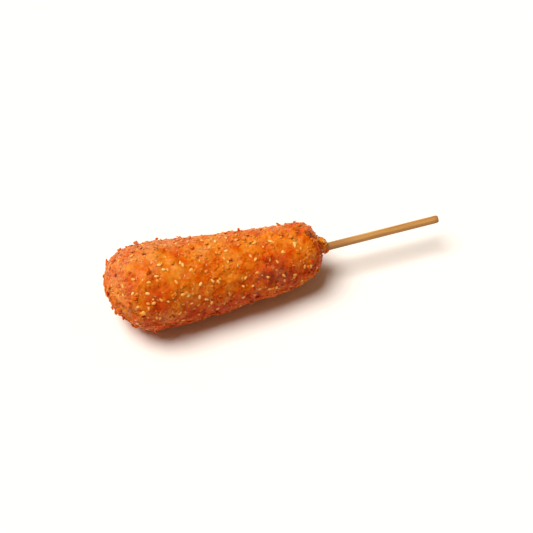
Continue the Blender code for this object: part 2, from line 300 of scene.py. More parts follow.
# Camera: its place from where the stick leaves the food, and its right and up directions.
CAMERA_FROM_NECK = Vector((-136.7, -376.9, 531.5)) * MM
CAMERA_RIGHT = Vector((0.9580, -0.2855, -0.0257))
CAMERA_UP = Vector((0.2425, 0.7595, 0.6036))
CAMERA_LENS = 73.7
CAMERA_SENSOR = 36
CAMERA_CLIP = 0.01

# The studio: a broad soft sun, a dim warm surround, and a floor.
SUN_ENERGY, SUN_WIDTH, SUN_COLOUR = 4.2, math.radians(38), (1.0, 0.94, 0.87)
SUN_FROM, SUN_AIM, SUN_DISTANCE = Vector((-0.36, 0.13, 1)), Vector((-10 * MM, 0, 20 * MM)), 1.2
SURROUND_COLOUR, SURROUND_STRENGTH = (1.0, 0.65, 0.38, 1), 0.19
FLOOR_REACH, FLOOR_DROP, FLOOR_COLOUR = 30, 0.2 * MM, (0.85, 0.85, 0.85, 1)
FLOOR_ROUGHNESS, FLOOR_SHINE = 0.9, 0.1

# Colours, as (place on a ramp, colour), from golden, pale or dark to browned or light.
CRUST_COLOURS = (
    (0.04, (0.80, 0.400, 0.070)),
    (0.22, (0.73, 0.252, 0.020)),
    (0.40, (0.63, 0.144, 0.003)),
    (0.57, (0.56, 0.070, 0.0003)),
    (0.75, (0.41, 0.030, 0.0003)),
    (0.96, (0.13, 0.018, 0.002)),
)
# Pale dusting, also used for painted sheen.
DUST_AND_SHEEN_COLOUR = (0.66, 0.350, 0.155)
BURNT_COLOURS = (
    (0.0, (0.13, 0.020, 0.003)),
    (0.5, (0.24, 0.040, 0.005)),
    (1.0, (0.42, 0.090, 0.012)),
)
SHARD_COLOURS = (
    (0.0, (0.84, 0.50, 0.22)),
    (0.35, (0.78, 0.36, 0.14)),
    (0.7, (0.72, 0.25, 0.07)),
    (1.0, (0.62, 0.14, 0.020)),
)
SEED_COLOURS = (
    (0.0, (0.90, 0.60, 0.23)),
    (0.35, (0.86, 0.44, 0.09)),
    (0.7, (0.78, 0.30, 0.035)),
    (1.0, (0.66, 0.17, 0.008)),
)
HERB_COLOURS = (
    (0.0, (0.110, 0.036, 0.006)),
    (0.25, (0.200, 0.072, 0.010)),
    (0.45, (0.310, 0.125, 0.020)),
    (0.65, (0.460, 0.230, 0.055)),
    (0.85, (0.880, 0.500, 0.030)),
    (1.0, (0.960, 0.680, 0.060)),
)
BAMBOO_COLOURS = (
    (0.0, (0.30, 0.122, 0.024)),
    (0.45, (0.43, 0.200, 0.040)),
    (1.0, (0.56, 0.300, 0.080)),
)
# The colour painted on the stick's far side as painted light, and the colour of its oily stretch.
PAINTED_LIGHT_BAMBOO, OILY_BAMBOO = (0.76, 0.500, 0.200), (0.30, 0.125, 0.028)

# How far light scatters in the crust and in its crumbs, and what share of it does.
CRUST_SCATTER, CRUMB_SCATTER, SCATTER_SHARE = 2.2 * MM, 1.7 * MM, 0.75
SCATTER_BY_COLOUR, SEED_SCATTER_BY_COLOUR = (1.0, 0.6, 0.3), (1.0, 0.5, 0.2)

# The bamboo: its oily and worn stretches, the painted light on its far side, and how its fibres are
# stretched.
OILY_LENGTH, OILY_SHARE = 22 * MM, 0.75
WORN_STAIN_LENGTH, WORN_STAIN_SHARE = 4 * MM, 0.6
MOST_PAINTED_LIGHT = 0.75
FIBRE_STRETCH, BROAD_FIBRE_STRETCH = (70, 2600, 2600), (25, 500, 500)

# The range that a noise texture's values mostly stay within.
NOISE_LOW, NOISE_HIGH = 0.3, 0.7


def plain_radius(d):
    """Radius of the smooth food at distance d from its stick end, both rounded ends included."""
    taper = min(1, d / TAPER_LENGTH) ** TAPER_EXPONENT
    girth = NECK_RADIUS + (WIDE_RADIUS - NECK_RADIUS) * taper
    past_snout = max(0, d - SHOULDER_START) / (NECK_CAP - SHOULDER_START)
    to_shoulder = max(0, 1 - past_snout) ** SHOULDER_SQUARENESS
    shoulder = (1 - to_shoulder) ** (1 / SHOULDER_SQUARENESS)
    to_blunt_end = max(0, 1 - (FOOD_LENGTH - d) / BLUNT_CAP)
    snout = SNOUT_RADIUS * math.sqrt(1 - max(0, 1 - d / SNOUT_LENGTH) ** 2)
    return max(min(snout, girth), girth * shoulder) * math.sqrt(max(0, 1 - to_blunt_end ** 2))


def centre_of(d):
    """Centre of the food's cross-section at distance d from its stick end."""
    climb = CLIMB_SLOPE * max(0, d - CLIMB_START)
    curl = TIP_CURL * (max(0, d - TIP_CURL_START) / (FOOD_LENGTH - TIP_CURL_START)) ** 2
    lean = LEAN * (d / LEAN_SPAN) ** 2 + curl
    bulge = math.exp(-(d / BULGE_SPAN) ** 2) * (1 - math.exp(-d / BULGE_START))
    on_stick = Vector((NECK_X - d, STICK_AXIS.y + lean, STICK_AXIS.z + climb))
    return on_stick + NECK_BULGE * bulge


def relief(p, share_of_crags=1.0):
    """Height of the crust's lumps and crags at a point of the smooth food, as in its solid."""
    lumps = LUMP_HEIGHT * noise.noise(p / LUMP_SPAN)
    patch = 0.5 + 0.5 * noise.noise(p / PATCH_SPAN + PATCH_SHIFT)
    crags = CRAG_HEIGHT * patch * noise.noise(p / CRAG_SPAN + CRAG_SHIFT)
    return lumps + crags * share_of_crags


def smooth_point(d, angle):
    radius = plain_radius(d)
    return centre_of(d) + Vector((0, math.cos(angle), math.sin(angle))) * radius


def smooth_normal(d, angle):
    """Outward direction of the smooth food, from two short steps along and around it."""
    low = max(d - NORMAL_STEP, END_MARGIN)
    high = min(d + NORMAL_STEP, FOOD_LENGTH - END_MARGIN)
    along = smooth_point(high, angle) - smooth_point(low, angle)
    around = Vector((0, -math.sin(angle), math.cos(angle)))
    return around.cross(along).normalized()


def crust_point(d, angle):
    p = smooth_point(d, angle)
    return p + smooth_normal(d, angle) * relief(p)


def outline_table():
    """Running totals over the food's outline, as (distance from the stick end, length, area)."""
    rows = [(0.0, 0.0, 0.0)]
    for i in range(1, OUTLINE_STEPS + 1):
        d = FOOD_LENGTH * (1 - math.cos(math.pi * i / OUTLINE_STEPS)) / 2
        last, length, area = rows[-1]
        radii = plain_radius(last), plain_radius(d)
        step = math.hypot(d - last, radii[1] - radii[0])
        rows.append((d, length + step, area + step * sum(radii)))
    return rows


def distance_at(table, column, share):
    """Distance from the stick end at which a share of the outline's length or area is passed."""
    wanted = share * table[-1][column]
    k = bisect.bisect_left(table, wanted, lo=1, hi=len(table) - 1, key=lambda row: row[column])
    low, high = table[k - 1], table[k]
    part = (wanted - low[column]) / (high[column] - low[column])
    return low[0] + (high[0] - low[0]) * min(1, max(0, part))


def spread_places(count, draw):
    """Evenly spread places on the food: equal areas along it, and golden angles round it."""
    table = outline_table()
    for i in range(count):
        angle = GOLDEN_ANGLE * i + draw.uniform(-PLACE_JITTER, PLACE_JITTER)
        yield distance_at(table, AREA, (i + 0.5) / count), angle


def patches_at(points, patches):
    """The strongest rise and the strongest fall that the patches give at each of some points."""
    rise, fall = np.zeros(len(points)), np.zeros(len(points))
    for d, angle, reach, amount in patches:
        middle = np.array(smooth_point(d * MM, math.radians(angle)))
        apart = np.linalg.norm(points - middle, axis=1)
        given = amount * np.exp(-(apart / (reach * MM)) ** 2)
        rise, fall = np.maximum(rise, given), np.minimum(fall, given)
    return rise + fall


def noise_values(points, span, shift=0.0):
    """Smooth noise from about -1 to 1 at each of an array of points."""
    offset = Vector((shift, -shift, shift / 2))
    return np.array([noise.noise(Vector(p) / span + offset) for p in points])


def coat_at(p):
    """The coat of fine crumbs at a point: its height, how near a crumb's top, and its own shade."""
    bent = p + noise.noise_vector(p / BEND_SPAN) * BEND
    height, top, shade = 0.0, 0.0, 0.0
    for span, rise in COAT:
        near, spots = noise.voronoi(bent / span)
        own = 0.5 + 0.5 * noise.cell(spots[0] * SHADE_STEP)
        dome = max(0, 1 - (near[0] / CRUMB_REACH) ** 2) ** 0.5
        dome *= CRUMB_JOIN + (1 - CRUMB_JOIN) * min(1, (near[1] - near[0]) / CRUMB_GAP)
        height += rise * (LOWEST_CRUMB + (1 - LOWEST_CRUMB) * own) * dome
        top = max(top, dome * (LOWEST_TOP + (1 - LOWEST_TOP) * own))
        shade += (own - 0.5) * rise / COAT[0][1]
    return height, top, shade


def blister_at(p):
    """Height of the soft blisters that show where the batter is bare."""
    near = noise.voronoi(p / BLISTER_SPAN)[0]
    return BLISTER_HEIGHT * max(0, 1 - (near[0] / BLISTER_REACH) ** 2)


def crater_at(p, middle):
    """Height of the crater round the burnt bubble: a rim round a pit."""
    apart = (p - middle).length
    rim = CRATER_RIM * math.exp(-((apart - CRATER_RADIUS) / CRATER_WIDTH) ** 2)
    return rim - CRATER_DEPTH * math.exp(-(apart / CRATER_WIDTH) ** 2)


def set_floats(mesh, name, values):
    attribute = mesh.attributes.new(name, "FLOAT", "POINT")
    attribute.data.foreach_set("value", np.asarray(values, np.float32))


def uneven(points, level, *noises):
    """A level with noises added, each a (strength, span, shift), at each of an array of points."""
    return level + sum(strength * noise_values(points, span, shift) for strength, span, shift in noises)


def browning_and_shading_at(points):
    """Browning of the crust at each of an array of points, from 0, golden, to 1, burnt, with painted shade
    and partly painted highlight from some of its patches.
    """
    return uneven(points, *TONE_NOISE) + patches_at(points, BROWNING_AND_SHADING_PATCHES)


def dust_at(points):
    """How much fine flour-pale dusting, and painted sheen along the top rim, the crust has, from 0 to 1.
    """
    return np.clip(uneven(points, *DUST_NOISE) + patches_at(points, DUST_AND_SHEEN_PATCHES), 0, 1)


def crumbed_at(points):
    """How thick the coat of crumbs is, from almost bare batter to 1."""
    return np.clip(uneven(points, *COAT_NOISE) - patches_at(points, SMOOTH_PATCHES), THINNEST_COAT, 1)


def make_skin():
    """The fried crust as one fine closed skin, flat where it rests."""
    table = outline_table()
    bm = bmesh.new()
    bmesh.ops.create_uvsphere(bm, u_segments=SKIN_SIDES, v_segments=SKIN_RINGS, radius=1)
    ring_distance = {}
    smooth, normals, bare, distances = [], [], [], []
    for v in bm.verts:
        key = round(v.co.z, 5)
        if key not in ring_distance:
            share = math.acos(max(-1, min(1, v.co.z))) / math.pi
            ring_distance[key] = distance_at(table, LENGTH, share)
        d, angle = ring_distance[key], math.atan2(v.co.y, v.co.x)
        p, out = smooth_point(d, angle), smooth_normal(d, angle)
        smooth.append(p)
        normals.append(out)
        distances.append(d)
        bare.append(relief(p, CRAGS_KEPT))
    places = np.array(smooth)
    crumbed = crumbed_at(places)
    crater = smooth_point(*CRATER_PLACE)
    tops, shades = np.zeros(len(places)), np.zeros(len(places))
    for i, v in enumerate(bm.verts):
        p = smooth[i]
        height, tops[i], shades[i] = coat_at(p)
        ends = min(1, max(0, distances[i] - ROUGH_START) / ROUGH_SPAN)
        fine = (height - COAT_LEVEL) * crumbed[i] * (1 + ROUGH_MORE * ends)
        if crumbed[i] < BLISTERED_BELOW:
            fine += blister_at(p) * (1 - crumbed[i])
        if (p - crater).length < CRATER_REACH:
            fine += crater_at(p, crater)
        v.co = p + normals[i] * (bare[i] + fine)
        v.co.z = max(v.co.z, 0)
    bmesh.ops.recalc_face_normals(bm, faces=bm.faces)
    mesh = bpy.data.meshes.new("crust_skin")
    bm.to_mesh(mesh)
    bm.free()
    # The tone adds painted shade: darker in the hollows between crumbs and lighter on their tops.
    tone = browning_and_shading_at(places) + SHADE_TONE * shades * crumbed + PAINTED_HOLLOW_SHADE * (0.5 - tops) * crumbed
    set_floats(mesh, "tone", tone)
    set_floats(mesh, "top", tops * crumbed)
    set_floats(mesh, "dust", dust_at(places))
    mesh.shade_smooth()
    obj = bpy.data.objects.new("crust_skin", mesh)
    bpy.context.scene.collection.objects.link(obj)
    return obj


class Pile:
    """Many small closed shapes gathered into one mesh, each with its own shade."""

    def __init__(self):
        self.points, self.faces, self.floats = [], [], {}
        self.count = 0

    def add(self, points, faces, **floats):
        self.points.append(points)
        self.faces.append(faces + self.count)
        for name, value in floats.items():
            self.floats.setdefault(name, []).append(np.full(len(points), value))
        self.count += len(points)

    def build(self, name):
        mesh = bpy.data.meshes.new(name)
        points, faces = np.concatenate(self.points), np.concatenate(self.faces)
        mesh.from_pydata(points.tolist(), [], faces.tolist())
        for key, values in self.floats.items():
            set_floats(mesh, key, np.concatenate(values))
        mesh.shade_smooth()
        mesh.validate()
        obj = bpy.data.objects.new(name, mesh)
        bpy.context.scene.collection.objects.link(obj)
        return obj


def sphere_arrays(subdivisions):
    """Points and triangles of an icosphere one unit across."""
    bm = bmesh.new()
    bmesh.ops.create_icosphere(bm, subdivisions=subdivisions, radius=0.5)
    points = np.array([v.co for v in bm.verts])
    faces = np.array([[v.index for v in f.verts] for f in bm.faces])
    bm.free()
    return points, faces


def rough_lump(draw, points):
    """A broken bread crumb: a lump with random facets and dents, about one unit across."""
    made = points.copy()
    for _ in range(FACETS):
        way = np.array(Vector((draw.gauss(0, 1), draw.gauss(0, 1), draw.gauss(0, 1))).normalized())
        level = draw.uniform(*FACET_LEVEL)
        over = np.maximum(made @ way - level, 0)
        made -= over[:, None] * way
    shift = Vector([draw.uniform(0, NOISE_SHIFT) for _ in range(3)])
    swell = np.array([noise.noise(Vector(p) * LUMP_SWELL_PITCH + shift) for p in made])
    return made * (1 + LUMP_SWELL * swell)[:, None] * LUMP_SCALE


def shard(draw, points):
    """A thin sliver of crumb, about one unit long."""
    lump = rough_lump(draw, points)
    lump *= np.array([1, draw.uniform(*SHARD_WIDTH), draw.uniform(*SHARD_THICKNESS)])
    lump[:, 1] += draw.uniform(-SHARD_BEND, SHARD_BEND) * lump[:, 0] ** 2
    return lump


def seed_template():
    """A sesame seed about one unit long: a drop that narrows to a slightly drawn-out tip."""
    points, faces = sphere_arrays(3)
    x = points[:, 0]
    narrow = SEED_ROUND * (1 - SEED_NARROWING * (x + 0.5))
    drawn_out = x + SEED_TIP_LENGTH * np.clip(x, 0, 1)
    made = np.stack([drawn_out, points[:, 1] * narrow, points[:, 2]], 1)
    return made, faces


def flake_shape(size, draw):
    """A dried leaf fragment: a thin curled plate with a ragged edge."""
    bm = bmesh.new()
    bmesh.ops.create_grid(bm, x_segments=FLAKE_COLUMNS, y_segments=FLAKE_ROWS, size=0.5)
    shift = Vector((draw.uniform(0, NOISE_SHIFT), draw.uniform(0, NOISE_SHIFT), 0))
    curl, twist = draw.uniform(*FLAKE_CURL), draw.uniform(-FLAKE_TWIST, FLAKE_TWIST)
    for v in bm.verts:
        x, y = v.co.x, v.co.y
        spot = Vector((x, y, 0))
        ragged = 1 + FLAKE_RAGGED * noise.noise(spot * FLAKE_RAGGED_PITCH + shift)
        round_in = 1 - FLAKE_POINTED * (2 * x) ** 2
        lift = curl * y * y + twist * x * y
        lift += FLAKE_CRINKLE * noise.noise(spot * FLAKE_CRINKLE_PITCH + shift)
        width = size[1] * round_in * ragged
        v.co = Vector((x * size[0] * ragged, y * width, lift * size[1] * FLAKE_LIFT_SHARE))
    bmesh.ops.solidify(bm, geom=bm.faces, thickness=FLAKE_THICKNESS)
    bmesh.ops.triangulate(bm, faces=bm.faces)
    points = np.array([v.co for v in bm.verts])
    faces = np.array([[v.index for v in f.verts] for f in bm.faces])
    bm.free()
    return points, faces


def lying_on(surface, d, angle, spin, sink):
    """Matrix of a thing that lies on the skin there, its thickness along the outward normal."""
    spot = surface.find_nearest(crust_point(d, angle))[0]
    out = smooth_normal(d, angle)
    turn = out.to_track_quat("Z", "Y").to_matrix() @ Matrix.Rotation(spin, 3, "Z")
    return Matrix.Translation(spot - out * sink) @ turn.to_4x4()


def by_bubble(matrix, reach=BURNT_BALL[0]):
    """Whether a thing that the matrix places would hide or cut the burnt bubble."""
    return (matrix.translation - smooth_point(*CRATER_PLACE)).length < reach


def moved(points, matrix, size=(1, 1, 1)):
    """An array of points, sized and then moved by a matrix."""
    m = np.array(matrix)
    return (points * np.array(size)) @ m[:3, :3].T + m[:3, 3]


def scaled(size, draw):
    return [s * draw.uniform(1 - SIZE_SPREAD, 1 + SIZE_SPREAD) for s in size]


def solid_toppings():
    """The solid's toppings in its own order of draws, as (kind, place, spin, sink, size)."""
    draw = random.Random(DRAW_SEED)
    for d, angle in spread_places(SEED_COUNT, draw):
        size = scaled(SEED_SIZE, draw)
        yield "seed", (d, angle), draw.uniform(0, math.tau), size[2] * TOPPING_SINK, size
    for d, angle in spread_places(FLAKE_COUNT, draw):
        size = scaled(FLAKE_SIZE, draw)
        yield "flake", (d, angle + FLAKE_TURN), draw.uniform(0, math.tau), 0, size
        for _ in range(2 * 2 * FLAKE_SIDES):
            draw.uniform(*FLAKE_UNEVEN)
    for d, angle in spread_places(CRUMB_COUNT, draw):
        size = scaled(CRUMB_SIZE, draw)
        spin = draw.uniform(0, math.tau)
        yield "crumb", (d, angle + CRUMB_TURN), spin, size[2] * TOPPING_SINK, size
        for _ in range(CRUMB_CORNERS):
            draw.uniform(*CRUMB_UNEVEN)
    for i in range(COLLAR_COUNT):
        turn = math.tau * i / COLLAR_COUNT
        size = scaled(COLLAR_SIZE, draw)
        reach = COLLAR_RADIUS * draw.uniform(*COLLAR_UNEVEN)
        spot = centre_of(COLLAR_DEPTH) + Vector((0, math.cos(turn), math.sin(turn))) * reach
        yield "collar", spot, 0, 0, size
        for _ in range(CRUMB_CORNERS):
            draw.uniform(*CRUMB_UNEVEN)


def principled(name):
    made = bpy.data.materials.new(name)
    made.use_nodes = True
    return made, made.node_tree, made.node_tree.nodes["Principled BSDF"]


def node(tree, kind, **settings):
    made = tree.nodes.new(kind)
    for key, value in settings.items():
        setattr(made, key, value)
    return made


def value_of(tree, name):
    return node(tree, "ShaderNodeAttribute", attribute_name=name).outputs["Fac"]


def noise_of(tree, span, detail=2.0, stretch=None):
    """Noise with features about span across, in the object's own coordinates."""
    coords = node(tree, "ShaderNodeTexCoord").outputs["Object"]
    if stretch:
        mapping = node(tree, "ShaderNodeMapping")
        mapping.inputs["Scale"].default_value = stretch
        tree.links.new(coords, mapping.inputs["Vector"])
        coords = mapping.outputs["Vector"]
    made = node(tree, "ShaderNodeTexNoise")
    made.inputs["Scale"].default_value = 1 / span
    made.inputs["Detail"].default_value = detail
    tree.links.new(coords, made.inputs["Vector"])
    return made.outputs["Fac"]


def math_of(tree, operation, *terms):
    made = node(tree, "ShaderNodeMath", operation=operation)
    for i, term in enumerate(terms):
        if isinstance(term, (int, float)):
            made.inputs[i].default_value = term
        else:
            tree.links.new(term, made.inputs[i])
    return made.outputs["Value"]


def ranged(tree, source, low, high, to_low, to_high):
    made = node(tree, "ShaderNodeMapRange")
    for key, value in zip(("From Min", "From Max", "To Min", "To Max"), (low, high, to_low, to_high)):
        made.inputs[key].default_value = value
    tree.links.new(source, made.inputs["Value"])
    return made.outputs["Result"]


def spread_of(tree, source, low, high):
    """A noise texture's values, spread from low to high."""
    return ranged(tree, source, NOISE_LOW, NOISE_HIGH, low, high)


def ramp_of(tree, source, stops):
    made = node(tree, "ShaderNodeValToRGB")
    elements = made.color_ramp.elements
    while len(elements) < len(stops):
        elements.new(0.5)
    for element, (place, colour) in zip(elements, stops):
        element.position = place
        element.color = (*colour, 1)
    tree.links.new(source, made.inputs["Fac"])
    return made.outputs["Color"]


def mixed(tree, share, first, second):
    made = node(tree, "ShaderNodeMix", data_type="RGBA")
    tree.links.new(share, made.inputs["Factor"])
    for key, colour in (("A", first), ("B", second)):
        socket = [s for s in made.inputs if s.name == key and s.type == "RGBA"][0]
        if isinstance(colour, tuple):
            socket.default_value = (*colour, 1)
        else:
            tree.links.new(colour, socket)
    return [s for s in made.outputs if s.type == "RGBA"][0]


def bumped(tree, shader, height, strength, distance):
    made = node(tree, "ShaderNodeBump")
    made.inputs["Strength"].default_value = strength
    made.inputs["Distance"].default_value = distance
    tree.links.new(height, made.inputs["Height"])
    tree.links.new(made.outputs["Normal"], shader.inputs["Normal"])


def crust_material(name, scatter):
    """Oily browned batter: golden to burnt by tone, pinkish and pale where it has dusting and painted
    sheen.
    """
    made, tree, shader = principled(name)
    medium, fine = noise_of(tree, 1.5 * MM, 3), noise_of(tree, 0.55 * MM, 2)
    spread = math_of(tree, "ADD", spread_of(tree, medium, -0.08, 0.08), spread_of(tree, fine, -0.03, 0.03))
    # The tone carries painted shade in the crumbs' hollows and in the browner rows of patches, and partly
    # painted highlight in the golden rows.
    tone = math_of(tree, "ADD", value_of(tree, "tone"), spread)
    browned = ramp_of(tree, tone, CRUST_COLOURS)
    # Pale dusting and painted sheen, mixed in most on the crumbs' tops.
    on_tops = ranged(tree, value_of(tree, "top"), 0, 1, 0.35, 1)
    dusty = math_of(tree, "MULTIPLY", value_of(tree, "dust"), on_tops)
    speckle = ranged(tree, noise_of(tree, 1.1 * MM, 2), 0.40, 0.60, 0.30, 1)
    dusty = math_of(tree, "MULTIPLY", dusty, speckle)
    colour = mixed(tree, dusty, browned, DUST_AND_SHEEN_COLOUR)
    tree.links.new(colour, shader.inputs["Base Color"])
    tree.links.new(spread_of(tree, fine, 0.20, 0.42), shader.inputs["Roughness"])
    shader.inputs["Specular IOR Level"].default_value = 0.06
    shader.inputs["Subsurface Weight"].default_value = SCATTER_SHARE
    shader.inputs["Subsurface Radius"].default_value = SCATTER_BY_COLOUR
    shader.inputs["Subsurface Scale"].default_value = scatter
    bumped(tree, shader, fine, 0.22, 0.25 * MM)
    return made


def burnt_material():
    """Burnt batter: dark brown, redder where it thins."""
    made, tree, shader = principled("burnt_batter")
    medium, fine = noise_of(tree, 1.4 * MM, 3), noise_of(tree, 0.4 * MM, 2)
    colour = ramp_of(tree, spread_of(tree, medium, 0, 1), BURNT_COLOURS)
    tree.links.new(colour, shader.inputs["Base Color"])
    tree.links.new(spread_of(tree, fine, 0.3, 0.5), shader.inputs["Roughness"])
    shader.inputs["Specular IOR Level"].default_value = 0.3
    bumped(tree, shader, fine, 0.4, 0.2 * MM)
    return made


def topping_material(name, colours, fine_span, detail, unevenness, roughness, shine, bump, depth):
    """A topping coloured by its own tone, a little uneven within it, with a fine surface."""
    made, tree, shader = principled(name)
    fine = noise_of(tree, fine_span, detail)
    tone = math_of(tree, "ADD", value_of(tree, "tone"), spread_of(tree, fine, -unevenness, unevenness))
    tree.links.new(ramp_of(tree, tone, colours), shader.inputs["Base Color"])
    tree.links.new(spread_of(tree, fine, *roughness), shader.inputs["Roughness"])
    shader.inputs["Specular IOR Level"].default_value = shine
    bumped(tree, shader, fine, bump, depth)
    return made, shader


def shard_material():
    """Pale slivers of crumb: cream to pinkish orange."""
    return topping_material("pale_crumb", SHARD_COLOURS, fine_span=0.5 * MM, detail=2, unevenness=0.15,
                            roughness=(0.3, 0.5), shine=0.3, bump=0.4, depth=0.12 * MM)[0]


def seed_material():
    """Hulled sesame: cream, and golden where the oil has soaked in."""
    made, shader = topping_material("sesame", SEED_COLOURS, fine_span=0.6 * MM, detail=2, unevenness=0.12,
                                    roughness=(0.28, 0.45), shine=0.5, bump=0.3, depth=0.1 * MM)
    shader.inputs["Subsurface Weight"].default_value = 0.15
    shader.inputs["Subsurface Radius"].default_value = SEED_SCATTER_BY_COLOUR
    shader.inputs["Subsurface Scale"].default_value = 0.6 * MM
    return made


def herb_material():
    """Dried herbs: dark brown to olive leaf, with a few yellow flakes."""
    return topping_material("dried_herb", HERB_COLOURS, fine_span=0.5 * MM, detail=3, unevenness=0.08,
                            roughness=(0.45, 0.7), shine=0.15, bump=0.5, depth=0.12 * MM)[0]


def bamboo_material():
    """Bamboo with fine fibres along it: painted light on its far side, oily next to the food, worn at its
    end.
    """
    made, tree, shader = principled("bamboo_wood")
    split = node(tree, "ShaderNodeSeparateXYZ")
    tree.links.new(node(tree, "ShaderNodeTexCoord").outputs["Object"], split.inputs["Vector"])
    fibre = noise_of(tree, 1.0, 3, stretch=FIBRE_STRETCH)
    broad = noise_of(tree, 1.0, 2, stretch=BROAD_FIBRE_STRETCH)
    streak = math_of(tree, "ADD", spread_of(tree, fibre, 0, 0.6), spread_of(tree, broad, 0, 0.4))
    wood = ramp_of(tree, streak, BAMBOO_COLOURS)
    # Painted light: the stick's far side, towards the lamp, is painted lighter.
    near_side, far_side = STICK_AXIS.y - 0.1 * STICK_RADIUS, STICK_AXIS.y + 0.9 * STICK_RADIUS
    painted_light = ranged(tree, split.outputs["Y"], near_side, far_side, 0, 0.8)
    painted_light = math_of(tree, "ADD", painted_light, spread_of(tree, broad, -0.2, 0.2))
    painted_light = math_of(tree, "MAXIMUM", math_of(tree, "MINIMUM", painted_light, MOST_PAINTED_LIGHT), 0)
    wood = mixed(tree, painted_light, wood, PAINTED_LIGHT_BAMBOO)
    along = split.outputs["X"]
    oily = ranged(tree, along, NECK_X, NECK_X + OILY_LENGTH, OILY_SHARE, 0)
    worn = ranged(tree, along, stick_high.x - WORN_STAIN_LENGTH, stick_high.x, 0, WORN_STAIN_SHARE)
    colour = mixed(tree, math_of(tree, "MAXIMUM", oily, worn), wood, OILY_BAMBOO)
    tree.links.new(colour, shader.inputs["Base Color"])
    tree.links.new(spread_of(tree, fibre, 0.42, 0.62), shader.inputs["Roughness"])
    bumped(tree, shader, fibre, 0.4, 0.15 * MM)
    return made


def finish_piece(obj, material, slot, *replaced):
    obj.data.materials.clear()
    obj.data.materials.append(material)
    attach(obj, "root")
    if replaced:
        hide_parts(*replaced)


def end_crumbs(surface, draw):
    """Larger crumbs that stand out at the blunt end and round the stick."""
    for count, low, high, longest in END_CRUMBS:
        for _ in range(count):
            d, angle = draw.uniform(low, high) * MM, draw.uniform(0, math.tau)
            length = draw.uniform(SHORTEST_END_CRUMB, longest) * MM
            size = [length, length * draw.uniform(*END_WIDTH), length * draw.uniform(*END_THICKNESS)]
            matrix = lying_on(surface, d, angle, draw.uniform(0, math.tau), END_SINK * length)
            tilt = Matrix.Rotation(draw.gauss(0, CRUMB_TILT), 4, "X")
            if matrix.translation.z > length:
                yield matrix @ tilt, size, draw.gauss(*END_TONE), 1


def crumb_pile(name, entries, shapes, faces, draw):
    """One mesh of crumbs from (matrix, size, change of tone, chance to stay on bare batter)."""
    places = np.array([matrix.translation for matrix, _, _, _ in entries])
    crumbed, tones, dusts = crumbed_at(places), browning_and_shading_at(places), dust_at(places)
    pile = Pile()
    for i, (matrix, size, shift, stays) in enumerate(entries):
        if draw.random() > stays + crumbed[i] or by_bubble(matrix, CRUMB_FREE_REACH):
            continue
        lump = shapes[draw.randrange(len(shapes))]
        top = np.clip(draw.uniform(*CRUMB_TOP) + lump[:, 2], 0, 1)
        # Painted shade: each crumb is darker low down, where it meets the skin, and lighter towards its
        # top.
        tone = tones[i] + shift + PAINTED_HOLLOW_SHADE * (0.5 - top)
        pile.add(moved(lump, matrix, size), faces, tone=tone, dust=dusts[i], top=top)
    return pile.build(name)


def loose_crumbs(surface, count, shortest, longest, draw):
    """Crumbs of random size and turn, spread evenly over the food."""
    for d, angle in spread_places(count, draw):
        length = shortest + (longest - shortest) * draw.random() ** FEW_LONG
        size = [length, length * draw.uniform(*LOOSE_WIDTH), length * draw.uniform(*LOOSE_THICKNESS)]
        tilt = Matrix.Rotation(draw.gauss(0, CRUMB_TILT), 4, "X")
        angle += draw.uniform(-LOOSE_STRAY, LOOSE_STRAY)
        spin, sink = draw.uniform(0, math.tau), draw.uniform(*LOOSE_SINK) * length
        matrix = lying_on(surface, d, angle, spin, sink)
        if matrix.translation.z > length:
            yield matrix @ tilt, size, draw.gauss(*LOOSE_TONE), ON_BARE_BATTER


def solid_crumbs(surface, draw):
    """The solid's own crumbs, and the ones round its stick."""
    for kind, place, spin, sink, size in solid_toppings():
        if kind == "crumb":
            matrix = lying_on(surface, *place, spin, SOLID_CRUMB_SINK * sink)
            if matrix.translation.z > FLOOR_CLEARANCE + size[2] / 2:
                yield matrix, [share * s for share, s in zip(SOLID_CRUMB_SHARE, size)], 0.0, 1
        if kind == "collar":
            roll = Matrix.Rotation(draw.uniform(0, math.tau), 4, "X")
            turn = roll @ Matrix.Rotation(draw.uniform(-1, 1), 4, "Y")
            axis = centre_of(COLLAR_DEPTH)
            near = Matrix.Translation(axis + (place - axis) * COLLAR_PULL)
            yield near @ turn, [COLLAR_SHARE * s for s in size], draw.uniform(*COLLAR_TONE), 1


def make_bubble(surface):
    """A burnt bubble of batter near the stick: a dark ball in a shallow crater."""
    points, faces = sphere_arrays(4)
    swell = np.array([
        noise.noise(Vector(p) * BURNT_SWELL_PITCH)
        + BURNT_ROUGHNESS * noise.noise(Vector(p) * BURNT_ROUGH_PITCH) for p in points])
    matrix = lying_on(surface, *CRATER_PLACE, BURNT_SPIN, -BURNT_STAND)
    pile = Pile()
    pile.add(moved(points * (1 + BURNT_SWELL * swell)[:, None], matrix, BURNT_BALL), faces)
    return pile.build("burnt_bubble")


